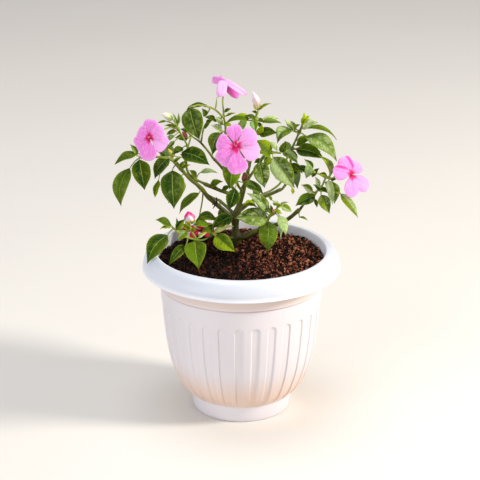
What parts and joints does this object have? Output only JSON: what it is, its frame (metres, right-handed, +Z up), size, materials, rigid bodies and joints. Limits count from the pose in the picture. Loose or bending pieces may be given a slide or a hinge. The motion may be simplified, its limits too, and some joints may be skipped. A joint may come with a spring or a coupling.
{
  "type": "potted garden balsam",
  "caption": "Bushy balsam plant with toothed green leaves and flat pink blooms, growing in soil in a round white planter with a fluted side and a rolled rim.",
  "frame": {"origin": "centre of the footprint of the whole object's box, on the ground under the planter's foot", "axes": "+Z up, +Y from the viewer towards the back of the plant, +X to the viewer's right"},
  "size_m": [0.2586, 0.2222, 0.3396],
  "materials": {
    "planter": "satin",
    "soil": "rough",
    "stem": "satin",
    "leaf": "satin",
    "pink_petal": "satin",
    "crimson_petal": "satin",
    "pale_bud": "satin",
    "olive_bud": "satin",
    "red_bud": "satin",
    "hot_pink_bud": "satin",
    "dry_capsule": "satin"
  },
  "bodies": {
    "root": {"pot": "planter", "soil": "soil", "stems": "stem", "spray_far_left": "leaf", "spray_left": "leaf", "spray_upper_left": "leaf", "spray_inner_left": "leaf", "spray_upper_right": "leaf", "spray_centre": "leaf", "spray_right_centre": "leaf", "spray_right_shoot": "leaf", "spray_right_cluster": "leaf", "spray_low_right": "leaf", "spray_low_left": "leaf", "spray_back_left": "leaf", "spray_back_right": "leaf", "spray_back_top": "leaf", "bloom_centre": "pink_petal", "bloom_left": "pink_petal", "bloom_right": "pink_petal", "bloom_top": "pink_petal", "bloom_crimson": "crimson_petal", "bud_white": "pale_bud", "bud_pink": "pale_bud", "bud_yellow": "olive_bud", "bud_red": "red_bud", "bud_opening": "hot_pink_bud", "bud_withered": "dry_capsule"}
  },
  "joints": []
}
